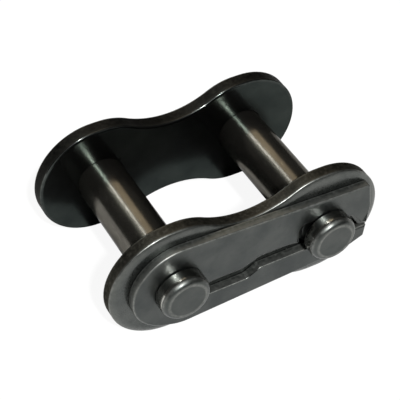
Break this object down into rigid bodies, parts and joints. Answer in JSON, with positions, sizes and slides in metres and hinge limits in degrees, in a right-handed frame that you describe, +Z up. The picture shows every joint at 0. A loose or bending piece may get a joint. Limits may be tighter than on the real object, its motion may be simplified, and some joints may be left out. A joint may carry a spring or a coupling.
{
  "type": "roller chain connecting link",
  "caption": "Connecting link of a motorcycle drive chain: waisted side plates on riveted pins, closed by a lift-off cover plate and a slotted spring clip.",
  "frame": {"origin": "on the surface that the plates' lower edges stand on, below the middle of the whole link", "axes": "+X along the chain from the clip's closed end to its open end, +Y from the cover plate to the rear plate, +Z up across the plates"},
  "size_m": [0.0288, 0.0198, 0.0125],
  "materials": {
    "plate_steel": "heat-blackened and oiled, satin to glossy",
    "pin_steel": "ground and polished, dark straw tint",
    "clip_steel": "blackened spring steel, satin"
  },
  "bodies": {
    "pin_link": {"rear_plate": "plate_steel", "left_pin": "pin_steel", "right_pin": "pin_steel"},
    "cover": {"cover_plate": "plate_steel"},
    "clip": {"spring_clip": "clip_steel"}
  },
  "joints": [
    {"name": "cover_slide", "type": "slide", "parent": "pin_link", "child": "cover", "axis": [0, -1, 0], "range_m": [0, 0.02], "deforming": ["spring_clip"]},
    {"name": "clip_slide", "type": "slide", "parent": "cover", "child": "clip", "axis": [0, -1, 0], "range_m": [0, 0.008], "deforming": ["spring_clip"]}
  ]
}
